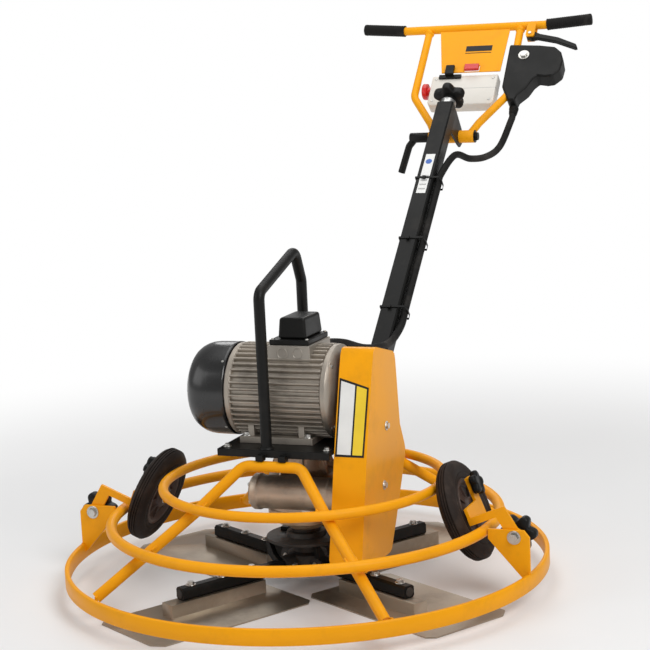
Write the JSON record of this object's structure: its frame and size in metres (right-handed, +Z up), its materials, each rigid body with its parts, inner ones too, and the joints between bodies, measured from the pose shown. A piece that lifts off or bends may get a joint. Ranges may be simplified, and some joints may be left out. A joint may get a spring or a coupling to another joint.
{
  "type": "walk-behind power trowel",
  "caption": "Electric walk-behind power trowel with round guard rings, four pitched blades, belt drive, worm gearbox, folding wheels and tilting handlebar.",
  "frame": {"origin": "on the floor under the middle of the whole machine, handle included", "axes": "+Z up; +Y from the rotor towards the handlebar; +X to the belt guard side"},
  "size_m": [0.939, 1.6706, 1.0735],
  "materials": {
    "yellow_paint": "gloss powder coat",
    "black_paint": "satin powder coat",
    "black_plastic": "moulded, satin",
    "rubber": "matt",
    "tyre_rubber": "matt",
    "aluminium_cast": "die cast, satin",
    "motor_casting": "die cast, satin",
    "blade_steel": "rolled",
    "steel": "machined",
    "iron": "rough cast",
    "box_white": "moulded, satin",
    "red_plastic": "moulded"
  },
  "bodies": {
    "frame": {"guard_ring_outer": "yellow_paint", "guard_ring_middle": "yellow_paint", "guard_ring_upper": "yellow_paint", "front_hoop": "yellow_paint", "rear_hoop": "yellow_paint", "motor_plate": "black_paint", "motor_housing": "motor_casting", "fan_cowl": "black_plastic", "terminal_box_base": "black_plastic", "terminal_box_lid": "black_plastic", "lifting_hoop": "black_paint", "gearbox_housing": "aluminium_cast", "gearbox_cover": "aluminium_cast", "belt_guard": "yellow_paint", "drive_belt": "rubber", "handle_foot_bracket": "black_paint", "handle_column": "black_paint", "cable_run": "rubber", "cable_loop": "rubber"},
    "rotor": {"output_shaft": "steel", "spider_hub": "iron"},
    "worm": {"worm_shaft": "steel", "gearbox_pulley": "steel"},
    "motor_rotor": {"motor_shaft": "steel", "motor_fan": "black_plastic", "motor_pulley": "steel"},
    "pressure_plate": {"pressure_plate": "iron"},
    "pitch_fork": {"pitch_fork": "black_paint"},
    "pitch_knob": {"pitch_knob": "black_plastic"},
    "handlebar": {"handle_frame": "yellow_paint", "crossbar": "yellow_paint", "control_panel": "yellow_paint", "grip_left": "rubber", "grip_right": "rubber", "switch_box": "box_white", "inlet_housing": "black_plastic", "cable_sleeve": "rubber"},
    "clamp_lever": {"clamp_lever": "black_plastic"},
    "deadman_lever": {"deadman_lever": "black_plastic"},
    "emergency_stop": {"emergency_stop": "red_plastic"},
    "start_switch": {"start_switch": "red_plastic"},
    "arm_1": {"trowel_arm_1": "black_paint", "blade_1": "blade_steel"},
    "arm_2": {"trowel_arm_2": "black_paint", "blade_2": "blade_steel"},
    "arm_3": {"trowel_arm_3": "black_paint", "blade_3": "blade_steel"},
    "arm_4": {"trowel_arm_4": "black_paint", "blade_4": "blade_steel"},
    "wheel_arm_left": {"wheel_arm_left": "yellow_paint"},
    "wheel_left": {"wheel_tyre_left": "tyre_rubber", "wheel_hub_left": "black_plastic"},
    "stow_knob_left": {"stow_knob_left": "black_plastic"},
    "clamp_knob_left": {"clamp_knob_left": "black_plastic"},
    "wheel_arm_right": {"wheel_arm_right": "yellow_paint"},
    "wheel_right": {"wheel_tyre_right": "tyre_rubber", "wheel_hub_right": "black_plastic"},
    "stow_knob_right": {"stow_knob_right": "black_plastic"},
    "clamp_knob_right": {"clamp_knob_right": "black_plastic"}
  },
  "joints": [
    {"name": "rotor_spin", "type": "hinge", "parent": "frame", "child": "rotor", "pos_m": [0, -0.36585, 0.04], "axis": [0, 0, 1], "continuous": true},
    {"name": "worm_spin", "type": "hinge", "parent": "frame", "child": "worm", "pos_m": [0, -0.43085, 0.19], "axis": [1, 0, 0], "continuous": true},
    {"name": "motor_spin", "type": "hinge", "parent": "frame", "child": "motor_rotor", "pos_m": [0, -0.39085, 0.383], "axis": [1, 0, 0], "continuous": true},
    {"name": "blade_tilt_1", "type": "hinge", "parent": "rotor", "child": "arm_1", "pos_m": [0, -0.36585, 0.04], "axis": [0.8616, -0.5075, 0], "range_deg": [0, 10]},
    {"name": "blade_tilt_2", "type": "hinge", "parent": "rotor", "child": "arm_2", "pos_m": [0, -0.36585, 0.04], "axis": [0.5075, 0.8616, 0], "range_deg": [0, 10]},
    {"name": "blade_tilt_3", "type": "hinge", "parent": "rotor", "child": "arm_3", "pos_m": [0, -0.36585, 0.04], "axis": [-0.8616, 0.5075, 0], "range_deg": [0, 10]},
    {"name": "blade_tilt_4", "type": "hinge", "parent": "rotor", "child": "arm_4", "pos_m": [0, -0.36585, 0.04], "axis": [-0.5075, -0.8616, 0], "range_deg": [0, 10]},
    {"name": "pressure_plate_travel", "type": "slide", "parent": "rotor", "child": "pressure_plate", "axis": [0, 0, 1], "range_m": [-0.0048, 0]},
    {"name": "pitch_fork_swing", "type": "hinge", "parent": "frame", "child": "pitch_fork", "pos_m": [0, -0.26785, 0.0953], "axis": [1, 0, 0], "range_deg": [0, 3]},
    {"name": "pitch_knob_turn", "type": "hinge", "parent": "frame", "child": "pitch_knob", "pos_m": [0.035, 0.02315, 0.388], "axis": [0, 0.7392, 0.6735], "range_deg": [0, 360]},
    {"name": "handlebar_tilt", "type": "hinge", "parent": "frame", "child": "handlebar", "pos_m": [0.035, 0.58415, 0.798], "axis": [1, 0, 0], "range_deg": [-45, 6], "deforming": ["cable_loop"]},
    {"name": "clamp_lever_turn", "type": "hinge", "parent": "frame", "child": "clamp_lever", "pos_m": [0.035, 0.58415, 0.798], "axis": [1, 0, 0], "range_deg": [-30, 90]},
    {"name": "deadman_squeeze", "type": "hinge", "parent": "handlebar", "child": "deadman_lever", "pos_m": [0.181, 0.79107, 1.02614], "axis": [0, -0.7407, 0.6718], "range_deg": [0, 18], "stiffness_Nm_per_rad": 1.2, "springref_deg": -34.38},
    {"name": "emergency_stop_press", "type": "slide", "parent": "handlebar", "child": "emergency_stop", "axis": [1, 0, 0], "range_m": [0, 0.005], "stiffness_N_per_m": 800, "springref_m": -0.004},
    {"name": "start_switch_press", "type": "slide", "parent": "handlebar", "child": "start_switch", "axis": [0, 0.7407, -0.6718], "range_m": [0, 0.004], "stiffness_N_per_m": 500, "springref_m": -0.004},
    {"name": "wheel_arm_swing_left", "type": "hinge", "parent": "frame", "child": "wheel_arm_left", "pos_m": [-0.4335, -0.42585, 0.127], "axis": [0, -1, 0], "range_deg": [0, 200]},
    {"name": "wheel_spin_left", "type": "hinge", "parent": "wheel_arm_left", "child": "wheel_left", "pos_m": [-0.323, -0.35785, 0.153], "axis": [-0.9259, 0, 0.3778], "continuous": true},
    {"name": "stow_knob_turn_left", "type": "hinge", "parent": "wheel_arm_left", "child": "stow_knob_left", "pos_m": [-0.3327, -0.34385, 0.20016], "axis": [-0.9259, 0, 0.3778], "range_deg": [-360, 0]},
    {"name": "clamp_knob_turn_left", "type": "hinge", "parent": "frame", "child": "clamp_knob_left", "pos_m": [-0.4335, -0.42585, 0.127], "axis": [0, 1, 0], "range_deg": [-360, 0]},
    {"name": "wheel_arm_swing_right", "type": "hinge", "parent": "frame", "child": "wheel_arm_right", "pos_m": [0.4335, -0.42585, 0.127], "axis": [0, 1, 0], "range_deg": [0, 200]},
    {"name": "wheel_spin_right", "type": "hinge", "parent": "wheel_arm_right", "child": "wheel_right", "pos_m": [0.323, -0.35785, 0.153], "axis": [0.9259, 0, 0.3778], "continuous": true},
    {"name": "stow_knob_turn_right", "type": "hinge", "parent": "wheel_arm_right", "child": "stow_knob_right", "pos_m": [0.3327, -0.34385, 0.20016], "axis": [0.9259, 0, 0.3778], "range_deg": [-360, 0]},
    {"name": "clamp_knob_turn_right", "type": "hinge", "parent": "frame", "child": "clamp_knob_right", "pos_m": [0.4335, -0.42585, 0.127], "axis": [0, 1, 0], "range_deg": [-360, 0]}
  ],
  "couplings": [
    {"joint": "worm_spin", "follows": "rotor_spin", "ratio": 8},
    {"joint": "motor_spin", "follows": "rotor_spin", "ratio": 14.55},
    {"joint": "blade_tilt_2", "follows": "blade_tilt_1", "ratio": 1},
    {"joint": "blade_tilt_3", "follows": "blade_tilt_1", "ratio": 1},
    {"joint": "blade_tilt_4", "follows": "blade_tilt_1", "ratio": 1},
    {"joint": "pressure_plate_travel", "follows": "blade_tilt_1", "m_per_rad": -0.027502},
    {"joint": "pitch_fork_swing", "follows": "blade_tilt_1", "ratio": 0.3},
    {"joint": "pitch_knob_turn", "follows": "blade_tilt_1", "ratio": 36}
  ]
}
